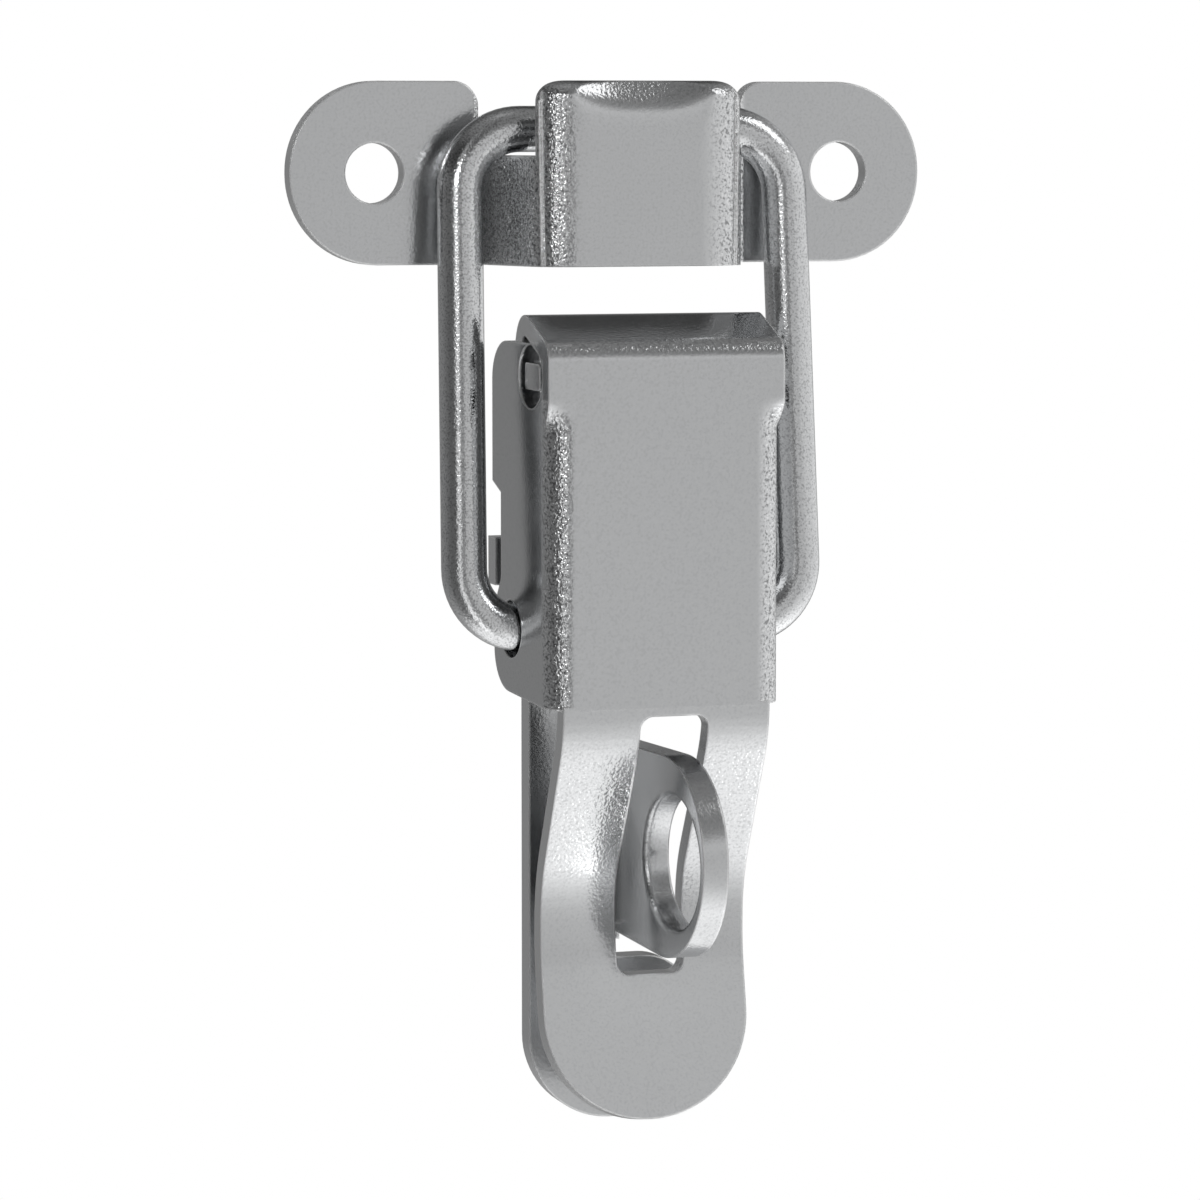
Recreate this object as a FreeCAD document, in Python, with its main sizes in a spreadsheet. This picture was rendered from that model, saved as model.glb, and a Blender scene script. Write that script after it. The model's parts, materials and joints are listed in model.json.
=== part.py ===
"""Over centre toggle latch: a hooked keeper, a wire bail, a folded lever and its base plate.

Millimetres. X is to the right, +Z is up and the front of the latch looks along -Y.
The plane y = 0 is the face of the case that both plates are screwed to, and the origin lies
in it, half way between the two screw holes of the base plate.
"""
import FreeCAD, Part
import math
import os

import PartDesign
import Sketcher
from FreeCAD import Placement, Rotation, Vector

SIZES = {
    # Keeper
    "keeper_sheet": 1.6,          # thickness of its sheet
    "keeper_rise": 52.0,          # its middle above the origin
    "keeper_width": 14.0,         # width of the strip it is folded from
    "keeper_half_length": 25.4,   # middle to the end of a wing
    "keeper_end_round": 6.9,      # rounding of a wing's end
    "keeper_hole_spacing": 37.5,  # between its two screw holes
    "hump_foot": 10.6,            # middle to the foot of the hump
    "hump_depth": 10.4,           # mounting face to the hump's front
    "hump_slant": 18.2,           # lean of the hump's sides, degrees
    "hump_bend": 3.6,             # outer radius of its front corners
    "hump_foot_bend": 0.6,        # inner radius where it joins a wing
    "hook_floor": 0.0,            # floor of the hook's notches above the keeper's middle
    "hook_front": 1.65,           # left standing in front of the notches
    "hook_cut_inside": 5.15,      # middle to where the notches end inside the hump
    "wing_corner": 1.9,           # rounding of a wing's corner beside the notch
    "lip_radius": 1.6,            # outer radius of the lip that the hump's top is curled into
    "lip_reach": 1.9,             # hump's front to the lip's back edge

    # Wire bail
    "wire_thickness": 3.5,        # diameter of the wire
    "bar_depth": 4.7,             # mounting face to the middle of the bar in the hook
    "bar_height": 3.35,           # middle of the bar above the keeper's middle
    "bail_top_half": 12.95,       # half the spacing of the legs at the bar
    "bail_foot_half": 13.45,      # half the spacing of the legs at the lever
    "bail_top_bend": 4.8,
    "bail_foot_bend": 4.6,
    "bail_end": 7.0,              # middle to the end of the wire inside the lever

    # Lever
    "lever_sheet": 1.6,           # thickness of its sheet
    "hinge_rise": 36.9,           # hinge axis above the origin
    "hinge_depth": 11.8,          # mounting face to the hinge axis
    "hinge_hole": 4.8,            # diameter of the hinge holes
    "wire_hole": 4.4,             # diameter of the holes for the wire
    "pivot_drop": 19.4,           # wire holes below the hinge axis
    "pivot_set_back": 4.1,        # wire holes behind the hinge axis
    "web_reach": 4.2,             # lever's front face in front of the hinge axis
    "web_half_width": 9.1,        # half the width over the flanges at the front face
    "flange_splay": 5.0,          # lean of a flange, degrees
    "flange_bend": 2.2,           # outer radius between web and flange
    "flange_back": 8.05,          # back edge of a flange behind the hinge axis
    "flange_top": 2.7,            # top edge of a flange above the hinge axis
    "flange_top_round": 3.0,
    "flange_foot": 24.0,          # bottom edge of a flange below the hinge axis
    "flange_foot_slope": 1.1,     # how much lower that edge is at the front
    "flange_foot_round": 3.2,
    "recess_top": 8.3,            # recess in the flange's back edge, below the hinge axis
    "recess_foot": 15.7,
    "recess_edge": 6.1,           # edge of the recess behind the hinge axis
    "recess_run": 2.2,            # height of the slope that ends the recess
    "lower_back": 7.5,            # back edge below the recess, behind the hinge axis
    "relief_drop": 1.7,           # where the bend ends and the tongue begins, below the axis
    "tongue_half_width": 9.3,
    "tongue_bend": 2.8,           # outer radius where the tongue turns back
    "tongue_slope": 20.0,         # rise of the tongue towards the back, degrees
    "tongue_back": 3.3,           # corner of the tongue's curl behind the hinge axis
    "tongue_height": 5.2,         # and above it
    "tongue_curl": 2.5,           # outer radius of the curl
    "tongue_end_back": 4.45,      # end of the curl behind the hinge axis
    "tongue_end_height": 2.55,    # and above it
    "tab_half_width": 8.15,       # half the width of the finger tab
    "tab_end_round": 8.1,
    "tab_knee": 26.9,             # where the tab leaves the plane of the web, below the axis
    "tab_valley_top": 39.4,       # the flat bottom of its hollow, below the axis
    "tab_valley_length": 5.0,
    "tab_valley_back": 1.9,       # that flat's front face behind the hinge axis
    "tab_tip": 56.95,             # end of the tab below the axis
    "tab_tip_reach": 0.6,         # and in front of it
    "tab_knee_bend": 10.0,
    "tab_upper_bend": 12.0,
    "tab_lower_bend": 15.0,
    "slot_left": 2.05,            # slot for the padlock eye
    "slot_right": 3.3,
    "slot_top": 25.5,
    "slot_foot": 46.1,
    "slot_corner": 1.0,

    # Base plate
    "base_sheet": 2.0,            # thickness of its sheet
    "base_half_width": 6.7,
    "base_end_round": 6.65,
    "base_hole_spacing": 30.4,    # between its two screw holes
    "base_foot": 21.9,            # bottom end below the origin
    "stop_half_width": 9.35,      # middle to the end of a side stop
    "stop_foot": 20.3,            # side stops above the origin
    "stop_height": 3.7,
    "arm_reach": 2.2,             # arm's front face in front of the hinge axis
    "arm_slope": 18.0,            # rise of the sheet that leads to the arm, degrees
    "arm_room": 5.7,              # space kept round the hinge axis for the tongue's sweep
    "arm_lower_bend": 3.0,
    "arm_top_bend": 2.5,
    "plate_bend": 1.0,
    "trunnion_rise": 1.0,         # top of the trunnions above the hinge axis
    "trunnion_front": 2.0,        # trunnions in front of the hinge axis
    "trunnion_back": 1.7,         # and behind it
    "trunnion_half_span": 9.35,
    "trunnion_edge": 0.3,
    "eye_face": 0.8,              # left face of the padlock eye left of the middle
    "eye_lean": 5.5,              # lean of the eye to the right, degrees
    "eye_height": 16.0,
    "eye_middle": 0.2,            # its middle above the origin
    "eye_depth": 21.4,            # mounting face to its front
    "eye_round": 7.6,
    "eye_root": 3.4,              # where its bend begins, left of the middle
    "eye_root_bend": 2.5,         # inner radius of that bend
    "eye_foot_rise": 1.3,         # how much higher its lower edge is at the plate
    "eye_hole": 10.2,             # diameter of its hole
    "eye_rim": 0.9,               # sheet left in front of the hole
    "cut_top": 10.5,              # opening left in the plate by the eye
    "cut_foot": 9.2,
    "cut_top_round": 1.5,
    "cut_foot_round": 4.0,

    # Shared
    "screw_hole": 4.6,            # diameter of all four screw holes
    "shear": 0.2,                 # sheet trimmed off along a sheared edge
    "outside": 6.0,               # how far a trimming cut reaches beyond a piece
    "through": 200.0,             # length of a cut that goes right through
}

doc = FreeCAD.newDocument("toggle_latch")
sheet = doc.addObject("Spreadsheet::Sheet", "Sizes")
for row, (alias, number) in enumerate(SIZES.items(), start=1):
    sheet.set(f"A{row}", alias)
    sheet.set(f"B{row}", str(number))
    sheet.setAlias(f"B{row}", alias)
doc.recompute()


class Size:
    """A number together with the formula that gives it, so that what is drawn stays bound."""

    def __init__(self, number, formula):
        self.number = number
        self.formula = formula

    def __add__(self, other):
        other = as_size(other)
        return Size(self.number + other.number, f"({self.formula} + {other.formula})")

    def __sub__(self, other):
        other = as_size(other)
        return Size(self.number - other.number, f"({self.formula} - {other.formula})")

    def __mul__(self, other):
        other = as_size(other)
        return Size(self.number * other.number, f"({self.formula} * {other.formula})")

    def __truediv__(self, other):
        other = as_size(other)
        return Size(self.number / other.number, f"({self.formula} / {other.formula})")

    def __neg__(self):
        return Size(-self.number, f"(-1 * {self.formula})")


def as_size(value):
    return value if isinstance(value, Size) else Size(float(value), repr(float(value)))


def sin(angle):
    return Size(math.sin(math.radians(angle.number)), f"sin({angle.formula})")


def cos(angle):
    return Size(math.cos(math.radians(angle.number)), f"cos({angle.formula})")


def tan(angle):
    return Size(math.tan(math.radians(angle.number)), f"tan({angle.formula})")


def hypot(a, b):
    return Size(math.hypot(a.number, b.number), f"hypot({a.formula}; {b.formula})")


def atan(a):
    return Size(math.degrees(math.atan(a.number)), f"atan({a.formula})")


class Sizes:
    """The cells of the sheet, each as a Size."""

    def __getattr__(self, alias):
        return Size(float(sheet.get(alias)), f"Sizes.{alias}")


S = Sizes()


def bind(thing, path, size):
    thing.setExpression(path, as_size(size).formula)


# Sketches

def new_sketch(body, name, plane, offset=None):
    """A sketch on one of the body's own origin planes, moved along the plane's normal by offset."""
    sketch = body.newObject("Sketcher::SketchObject", name)
    support = [o for o in body.Origin.OriginFeatures if o.Role == plane][0]
    sketch.AttachmentSupport = [(support, "")]
    sketch.MapMode = "FlatFace"
    if offset is not None:
        bind(sketch, "AttachmentOffset.Base.z", offset)
    return sketch


def place_point(sketch, geometry, end, u, v):
    """Hold a point of the sketch at u to the right and v up from the sketch's origin."""
    for kind, size, axis in (("DistanceX", u, -2), ("DistanceY", v, -1)):
        if abs(size.number) < 1e-9:
            sketch.addConstraint(Sketcher.Constraint("PointOnObject", geometry, end, axis))
            continue
        index = sketch.addConstraint(
            Sketcher.Constraint(kind, -1, 1, geometry, end, size.number))
        bind(sketch, f"Constraints[{index}]", size)


class Corner:
    """A corner of an outline, with the radius it is rounded to."""

    def __init__(self, u, v, radius=None):
        self.u = as_size(u)
        self.v = as_size(v)
        self.radius = None if radius is None else as_size(radius)
        self.at = Vector(self.u.number, self.v.number, 0)


def turn_between(before, corner, after):
    """Directions into and out of a corner, and the signed angle between them."""
    way_in = (corner.at - before.at).normalize()
    way_out = (after.at - corner.at).normalize()
    turn = math.atan2(way_in.cross(way_out).z, way_in.dot(way_out))
    return way_in, way_out, turn


def rounded(before, corner, after, radius):
    """Start, end, middle and turn of the arc of this radius that rounds a corner."""
    way_in, way_out, turn = turn_between(before, corner, after)
    cut = radius * math.tan(abs(turn) / 2)
    start = corner.at - way_in * cut
    end = corner.at + way_out * cut
    side = Vector(-way_in.y, way_in.x, 0) * math.copysign(radius, turn)
    return start, end, start + side, turn


def arc_between(start, end, middle, radius, turn):
    """The arc itself, and which of its ends (1 or 2) is the start."""
    first, last = (start, end) if turn > 0 else (end, start)
    angles = [math.atan2(p.y - middle.y, p.x - middle.x) for p in (first, last)]
    if angles[1] < angles[0]:
        angles[1] += 2 * math.pi
    circle = Part.Circle(middle, Vector(0, 0, 1), radius)
    return Part.ArcOfCircle(circle, *angles), (1 if turn > 0 else 2)


def draw_path(sketch, corners, closed):
    """Lines through the corners with tangent arcs at the rounded ones. Returns the geometry numbers."""
    count = len(corners)
    ends = []
    for i, corner in enumerate(corners):
        inner = closed or 0 < i < count - 1
        if corner.radius is None or not inner:
            ends.append((corner.at, corner.at, None, 0))
            continue
        around = corners[i - 1], corner, corners[(i + 1) % count]
        ends.append(rounded(*around, corner.radius.number))
    lines = []
    for i in range(count if closed else count - 1):
        start, end = ends[i][1], ends[(i + 1) % count][0]
        lines.append(sketch.addGeometry(Part.LineSegment(start, end), False))
    arcs = {}
    for i, corner in enumerate(corners):
        line_in = lines[i - 1] if (closed or i > 0) else None
        line_out = lines[i] if i < len(lines) else None
        if ends[i][2] is None:
            if line_in is not None and line_out is not None:
                sketch.addConstraint(Sketcher.Constraint("Coincident", line_in, 2, line_out, 1))
            place_point(sketch, *((line_out, 1) if line_out is not None else (line_in, 2)),
                        corner.u, corner.v)
            continue
        start, end, middle, turn = ends[i]
        arc, first = arc_between(start, end, middle, corner.radius.number, turn)
        number = sketch.addGeometry(arc, False)
        arcs[i] = number
        point = sketch.addGeometry(Part.Point(corner.at), True)
        sketch.addConstraint([
            Sketcher.Constraint("Tangent", line_in, 2, number, first),
            Sketcher.Constraint("Tangent", number, 3 - first, line_out, 1),
            Sketcher.Constraint("PointOnObject", point, 1, line_in),
            Sketcher.Constraint("PointOnObject", point, 1, line_out),
        ])
        index = sketch.addConstraint(Sketcher.Constraint("Radius", number, corner.radius.number))
        bind(sketch, f"Constraints[{index}]", corner.radius)
        place_point(sketch, point, 1, corner.u, corner.v)
    return lines, arcs


def draw_bent_sheet(sketch, corners, thickness, side):
    """The section of a bent sheet. The corners lie on its face, and the back is a sheet behind it.

    side is +1 where the back is to the left of the path along the corners and -1 to the right.
    """
    lines, arcs = draw_path(sketch, corners, closed=False)
    count = len(corners)
    bends = []
    for i in range(1, count - 1):
        corner = corners[i]
        start, end, middle, turn = rounded(corners[i - 1], corner, corners[i + 1],
                                           corner.radius.number)
        inwards = math.copysign(1, turn) * side
        back_radius = corner.radius - thickness * inwards
        scale = back_radius.number / corner.radius.number
        bends.append((middle + (start - middle) * scale, middle + (end - middle) * scale,
                      middle, turn, back_radius, arcs[i]))
    first_way = (corners[1].at - corners[0].at).normalize()
    last_way = (corners[-1].at - corners[-2].at).normalize()
    step = thickness.number * side
    back_start = corners[0].at + Vector(-first_way.y, first_way.x, 0) * step
    back_end = corners[-1].at + Vector(-last_way.y, last_way.x, 0) * step
    starts = [back_start] + [b[1] for b in bends]
    ends = [b[0] for b in bends] + [back_end]
    back_lines = [sketch.addGeometry(Part.LineSegment(a, b), False) for a, b in zip(starts, ends)]
    for i, (start, end, middle, turn, back_radius, front_arc) in enumerate(bends):
        arc, first = arc_between(start, end, middle, back_radius.number, turn)
        number = sketch.addGeometry(arc, False)
        sketch.addConstraint([
            Sketcher.Constraint("Coincident", number, 3, front_arc, 3),
            Sketcher.Constraint("Tangent", back_lines[i], 2, number, first),
            Sketcher.Constraint("Tangent", number, 3 - first, back_lines[i + 1], 1),
        ])
        index = sketch.addConstraint(Sketcher.Constraint("Radius", number, back_radius.number))
        bind(sketch, f"Constraints[{index}]", back_radius)
    caps = [
        sketch.addGeometry(Part.LineSegment(corners[0].at, back_start), False),
        sketch.addGeometry(Part.LineSegment(corners[-1].at, back_end), False),
    ]
    for cap, line, end, back in ((caps[0], lines[0], 1, back_lines[0]),
                                 (caps[1], lines[-1], 2, back_lines[-1])):
        sketch.addConstraint([
            Sketcher.Constraint("Coincident", cap, 1, line, end),
            Sketcher.Constraint("Coincident", cap, 2, back, end),
            Sketcher.Constraint("Perpendicular", cap, line),
            Sketcher.Constraint("Parallel", back, line),
        ])


def rectangle(left, foot, right, top, radius=None):
    return [Corner(left, foot, radius), Corner(right, foot, radius),
            Corner(right, top, radius), Corner(left, top, radius)]


def draw_circle(sketch, u, v, diameter):
    u, v, diameter = as_size(u), as_size(v), as_size(diameter)
    circle = Part.Circle(Vector(u.number, v.number, 0), Vector(0, 0, 1), diameter.number / 2)
    number = sketch.addGeometry(circle, False)
    index = sketch.addConstraint(Sketcher.Constraint("Diameter", number, diameter.number))
    bind(sketch, f"Constraints[{index}]", diameter)
    place_point(sketch, number, 3, u, v)


# Features

def pad(body, sketch, length, symmetric=False):
    feature = body.newObject("PartDesign::Pad", sketch.Name + "_pad")
    feature.Profile = sketch
    if symmetric:
        feature.SideType = "Symmetric"
    bind(feature, "Length", length)
    return feature


def cut_through(body, sketch):
    """Cut the sketch out of the body on both sides of its plane."""
    feature = body.newObject("PartDesign::Pocket", sketch.Name + "_cut")
    feature.Profile = sketch
    feature.SideType = "Symmetric"
    feature.Type = "Length"
    bind(feature, "Length", S.through)
    return feature


def cut_above(body, sketch, length):
    """Cut the sketch out of the body on the side its plane's normal points to."""
    feature = body.newObject("PartDesign::Pocket", sketch.Name + "_cut")
    feature.Profile = sketch
    feature.Reversed = True
    bind(feature, "Length", length)
    return feature


def round_edges(body, name, radius, wanted):
    """Fillet the edges for whose middle and direction wanted(middle, direction) is true."""
    doc.recompute()
    base = body.Tip
    names = []
    for number, edge in enumerate(base.Shape.Edges, start=1):
        ends = [v.Point for v in edge.Vertexes]
        if len(ends) < 2:
            continue
        along = ends[1] - ends[0]
        if along.Length < 1e-6:
            continue
        if wanted((ends[0] + ends[1]) * 0.5, along.normalize()):
            names.append(f"Edge{number}")
    assert names, name
    feature = body.newObject("PartDesign::Fillet", name)
    feature.Base = (base, names)
    bind(feature, "Radius", radius)
    return feature


def near(a, b, slack=0.3):
    return abs(a - b) < slack


def new_body(name, y=0, z=0):
    body = doc.addObject("PartDesign::Body", name)
    body.Label = name
    bind(body, "Placement.Base.y", y)
    bind(body, "Placement.Base.z", z)
    return body


# Keeper: a strip folded into two wings and a box-shaped hump, hooked at the top

def make_keeper():
    body = new_body("keeper", z=S.keeper_rise)
    shoulder = S.hump_foot - (S.hump_depth - S.keeper_sheet) * tan(S.hump_slant)
    face = -S.keeper_sheet
    section = new_sketch(body, "keeper_section", "XY_Plane")
    draw_bent_sheet(section, [
        Corner(-S.keeper_half_length, face),
        Corner(-S.hump_foot, face, S.hump_foot_bend),
        Corner(-shoulder, -S.hump_depth, S.hump_bend),
        Corner(shoulder, -S.hump_depth, S.hump_bend),
        Corner(S.hump_foot, face, S.hump_foot_bend),
        Corner(S.keeper_half_length, face),
    ], S.keeper_sheet, side=1)
    pad(body, section, S.keeper_width, symmetric=True)

    holes = new_sketch(body, "keeper_holes", "XZ_Plane")
    for side in (-1, 1):
        draw_circle(holes, S.keeper_hole_spacing / 2 * side, 0, S.screw_hole)
    cut_through(body, holes)

    # The lip closes the hump's top in front of the bar, and reaches round its front corners
    lip = new_sketch(body, "lip", "XY_Plane", S.keeper_width / 2 - S.keeper_sheet)
    lip_back = S.hump_depth - S.lip_reach
    lip_half = S.hump_foot - (lip_back - S.keeper_sheet) * tan(S.hump_slant)
    draw_path(lip, [
        Corner(-lip_half, -lip_back),
        Corner(-shoulder, -S.hump_depth, S.hump_bend),
        Corner(shoulder, -S.hump_depth, S.hump_bend),
        Corner(lip_half, -lip_back),
    ], closed=True)
    pad(body, lip, S.keeper_sheet)

    # Two notches for the wire's bar, open at the top
    hook_cut = S.hump_depth - S.hook_front
    for name, side in (("left_notch", -1), ("right_notch", 1)):
        notch = new_sketch(body, name, "XY_Plane", S.hook_floor)
        corners = [
            Corner(S.hump_foot * side, S.keeper_sheet),
            Corner(S.hump_foot * side, -hook_cut),
            Corner(S.hook_cut_inside * side, -hook_cut),
            Corner(S.hook_cut_inside * side, S.keeper_sheet),
        ]
        draw_path(notch, corners, closed=True)
        cut_above(body, notch, S.keeper_width)
    half_width = S.keeper_width.number / 2
    front = S.hump_depth.number
    curl = S.lip_radius.number
    round_edges(body, "lip_curl", S.lip_radius,
                lambda at, way: near(at.z, half_width) and at.y < curl / 2 + 0.1 - front)

    half_length = S.keeper_half_length.number
    round_edges(body, "wing_ends", S.keeper_end_round,
                lambda at, way: near(abs(at.x), half_length) and near(abs(way.y), 1, 0.01))
    foot = S.hump_foot.number
    round_edges(body, "wing_corners", S.wing_corner,
                lambda at, way: near(abs(at.x), foot) and near(abs(way.y), 1, 0.01)
                and near(at.z, half_width) and at.y > -S.keeper_sheet.number)
    return body


# Wire bail: drawn flat in its own plane, with its foot on the pivot, then leaned to the bar

def make_wire_bail():
    pivot_y = S.pivot_set_back - S.hinge_depth
    pivot_z = S.hinge_rise - S.pivot_drop
    rise = S.keeper_rise + S.bar_height - pivot_z
    set_back = -S.bar_depth - pivot_y
    length = hypot(rise, set_back)
    body = new_body("wire_bail", y=pivot_y, z=pivot_z)
    body.Placement = Placement(Vector(), Rotation(Vector(-1, 0, 0), 1))
    bind(body, "Placement.Rotation.Angle", atan(set_back / rise))

    path = new_sketch(body, "bail_path", "XZ_Plane")
    draw_path(path, [
        Corner(-S.bail_end, 0),
        Corner(-S.bail_foot_half, 0, S.bail_foot_bend),
        Corner(-S.bail_top_half, length, S.bail_top_bend),
        Corner(S.bail_top_half, length, S.bail_top_bend),
        Corner(S.bail_foot_half, 0, S.bail_foot_bend),
        Corner(S.bail_end, 0),
    ], closed=False)
    wire = new_sketch(body, "wire_section", "YZ_Plane", -S.bail_end)
    draw_circle(wire, 0, 0, S.wire_thickness)
    pipe = body.newObject("PartDesign::AdditivePipe", "bail_wire")
    pipe.Profile = wire
    pipe.Spine = (path, [])
    return body


# Lever: heights and depths are measured from its hinge axis

def make_lever():
    body = new_body("lever", y=-S.hinge_depth, z=S.hinge_rise)
    t = S.lever_sheet
    face = -S.web_reach
    flange_out = S.web_half_width + (S.web_reach + S.flange_back) * tan(S.flange_splay)
    channel = new_sketch(body, "lever_channel", "XY_Plane", -(S.flange_foot + S.flange_foot_slope))
    draw_bent_sheet(channel, [
        Corner(-flange_out, S.flange_back),
        Corner(-S.web_half_width, face, S.flange_bend),
        Corner(S.web_half_width, face, S.flange_bend),
        Corner(flange_out, S.flange_back),
    ], t, side=1)
    pad(body, channel, S.flange_foot + S.flange_foot_slope + S.flange_top)

    # What lies outside the flanges' outline, seen from the side, is cut away
    trim = new_sketch(body, "flange_outline", "YZ_Plane")
    draw_path(trim, rectangle(-S.web_reach - S.outside, -S.flange_foot - S.outside,
                              S.flange_back + S.outside, S.flange_top + S.outside), closed=True)
    flange_front = face + t / 2
    draw_path(trim, [
        Corner(-S.web_reach - S.outside / 2, -(S.flange_foot + S.flange_foot_slope)),
        Corner(S.lower_back, -S.flange_foot, S.flange_foot_round),
        Corner(S.lower_back, -(S.recess_foot + S.recess_run), t / 2),
        Corner(S.recess_edge, -S.recess_foot, t / 2),
        Corner(S.recess_edge, -(S.recess_top + t / 2)),
        Corner(S.flange_back - S.shear, -S.recess_top),
        Corner(S.flange_back - S.shear, S.flange_top - S.shear, S.flange_top_round),
        Corner(flange_front, S.flange_top - S.shear),
        Corner(flange_front, -S.relief_drop),
        Corner(-S.web_reach - S.outside / 2, -S.relief_drop),
    ], closed=True)
    cut_through(body, trim)

    # Above the relief the web gives way to the tongue
    gap = new_sketch(body, "web_gap", "XY_Plane", -S.relief_drop)
    half = S.web_half_width - t - S.shear
    draw_path(gap, rectangle(-half, face - S.outside, half, 0), closed=True)
    cut_above(body, gap, S.flange_foot)

    hinge_holes = new_sketch(body, "hinge_holes", "YZ_Plane")
    draw_circle(hinge_holes, 0, 0, S.hinge_hole)
    cut_through(body, hinge_holes)
    wire_holes = new_sketch(body, "wire_holes", "YZ_Plane")
    draw_circle(wire_holes, S.pivot_set_back, -S.pivot_drop, S.wire_hole)
    cut_through(body, wire_holes)

    tongue = new_sketch(body, "tongue", "YZ_Plane")
    lift = (S.tongue_back + S.web_reach) * tan(S.tongue_slope)
    draw_bent_sheet(tongue, [
        Corner(face, -S.relief_drop),
        Corner(face, S.tongue_height - lift, S.tongue_bend),
        Corner(S.tongue_back, S.tongue_height, S.tongue_curl),
        Corner(S.tongue_end_back, S.tongue_end_height),
    ], t, side=-1)
    pad(body, tongue, S.tongue_half_width * 2, symmetric=True)

    tab = new_sketch(body, "finger_tab", "YZ_Plane")
    draw_bent_sheet(tab, [
        Corner(-S.tab_tip_reach, -S.tab_tip),
        Corner(S.tab_valley_back, -(S.tab_valley_top + S.tab_valley_length), S.tab_lower_bend),
        Corner(S.tab_valley_back, -S.tab_valley_top, S.tab_upper_bend),
        Corner(face, -S.tab_knee, S.tab_knee_bend),
        Corner(face, -(S.flange_foot + S.flange_foot_slope / 2)),
    ], t, side=-1)
    pad(body, tab, S.tab_half_width * 2, symmetric=True)
    tip = S.tab_tip.number
    half_width = S.tab_half_width.number
    round_edges(body, "tab_end", S.tab_end_round,
                lambda at, way: near(abs(at.x), half_width, 0.1) and near(at.z, -tip, 1)
                and abs(way.x) < 0.1)

    slot = new_sketch(body, "eye_slot", "XZ_Plane")
    draw_path(slot, rectangle(-S.slot_left, -S.slot_foot, S.slot_right, -S.slot_top,
                              S.slot_corner), closed=True)
    cut_through(body, slot)
    return body


# Base plate: screwed plate, side stops, padlock eye and the arm with the lever's trunnions

def make_base_plate():
    body = new_body("base_plate")
    t = S.base_sheet
    arm_face = -(S.hinge_depth + S.arm_reach)

    def under_slope(y):
        """Height of the underside of the sloping sheet at this y."""
        back = y + S.hinge_depth
        return S.hinge_rise - (S.arm_room + t + back * sin(S.arm_slope)) / cos(S.arm_slope)

    side = new_sketch(body, "base_profile", "YZ_Plane")
    trunnion_top = S.hinge_rise + S.trunnion_rise
    draw_bent_sheet(side, [
        Corner(-t, -S.base_foot),
        Corner(-t, under_slope(-t), S.plate_bend),
        Corner(arm_face, under_slope(arm_face), S.arm_lower_bend),
        Corner(arm_face, trunnion_top, S.arm_top_bend),
        Corner(S.trunnion_back - S.hinge_depth, trunnion_top),
    ], t, side=-1)
    pad(body, side, S.base_half_width * 2, symmetric=True)

    trunnions = new_sketch(body, "trunnions", "YZ_Plane")
    draw_path(trunnions, rectangle(-(S.hinge_depth + S.trunnion_front), trunnion_top - t,
                                   S.trunnion_back - S.hinge_depth, trunnion_top,
                                   S.trunnion_edge), closed=True)
    pad(body, trunnions, S.trunnion_half_span * 2, symmetric=True)

    stops = new_sketch(body, "side_stops", "XZ_Plane")
    draw_path(stops, rectangle(-S.stop_half_width, S.stop_foot, S.stop_half_width,
                               S.stop_foot + S.stop_height), closed=True)
    pad(body, stops, t)

    foot = S.base_foot.number
    half_width = S.base_half_width.number
    round_edges(body, "plate_end", S.base_end_round,
                lambda at, way: near(abs(at.x), half_width) and near(at.z, -foot)
                and near(abs(way.y), 1, 0.01))

    opening = new_sketch(body, "plate_opening", "XZ_Plane")
    draw_path(opening, rectangle(-S.eye_root, -S.cut_foot, S.base_half_width * 2, S.cut_top),
              closed=True)
    cut_through(body, opening)
    for name, radius, height in (("opening_top", S.cut_top_round, S.cut_top.number),
                                 ("opening_foot", S.cut_foot_round, -S.cut_foot.number)):
        round_edges(body, name, radius,
                    lambda at, way: near(at.x, half_width) and near(at.z, height)
                    and near(abs(way.y), 1, 0.01))

    # The eye is folded forward out of that opening, and then trimmed to its outline
    reach = S.eye_depth + t
    eye = new_sketch(body, "padlock_eye", "XY_Plane", S.eye_middle - S.eye_height / 2)
    draw_bent_sheet(eye, [
        Corner(-(S.eye_root + t / 2), -t),
        Corner(-S.eye_face, -t, S.eye_root_bend),
        Corner((reach - t) * tan(S.eye_lean) - S.eye_face, -reach),
    ], t, side=1)
    pad(body, eye, S.eye_height)

    outline = new_sketch(body, "eye_outline", "YZ_Plane")
    eye_foot = S.eye_middle - S.eye_height / 2
    eye_top = S.eye_middle + S.eye_height / 2
    ahead = -(S.eye_depth + S.outside)
    draw_path(outline, [
        Corner(-t, eye_top),
        Corner(-S.eye_depth, eye_top, S.eye_round),
        Corner(-S.eye_depth, eye_foot, S.eye_round),
        Corner(-t, eye_foot + S.eye_foot_rise),
        Corner(-t, eye_foot - S.outside),
        Corner(ahead, eye_foot - S.outside),
        Corner(ahead, eye_top + S.outside),
        Corner(-t, eye_top + S.outside),
    ], closed=True)
    cut_through(body, outline)
    eye_hole = new_sketch(body, "eye_hole", "YZ_Plane")
    hole_depth = S.eye_depth - S.eye_rim - S.eye_hole / 2
    draw_circle(eye_hole, -hole_depth, S.eye_middle, S.eye_hole)
    cut_through(body, eye_hole)

    holes = new_sketch(body, "base_holes", "XZ_Plane")
    for side in (-1, 1):
        draw_circle(holes, 0, S.base_hole_spacing / 2 * side, S.screw_hole)
    cut_through(body, holes)
    return body


bodies = [make_keeper(), make_wire_bail(), make_lever(), make_base_plate()]
doc.recompute()

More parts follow.
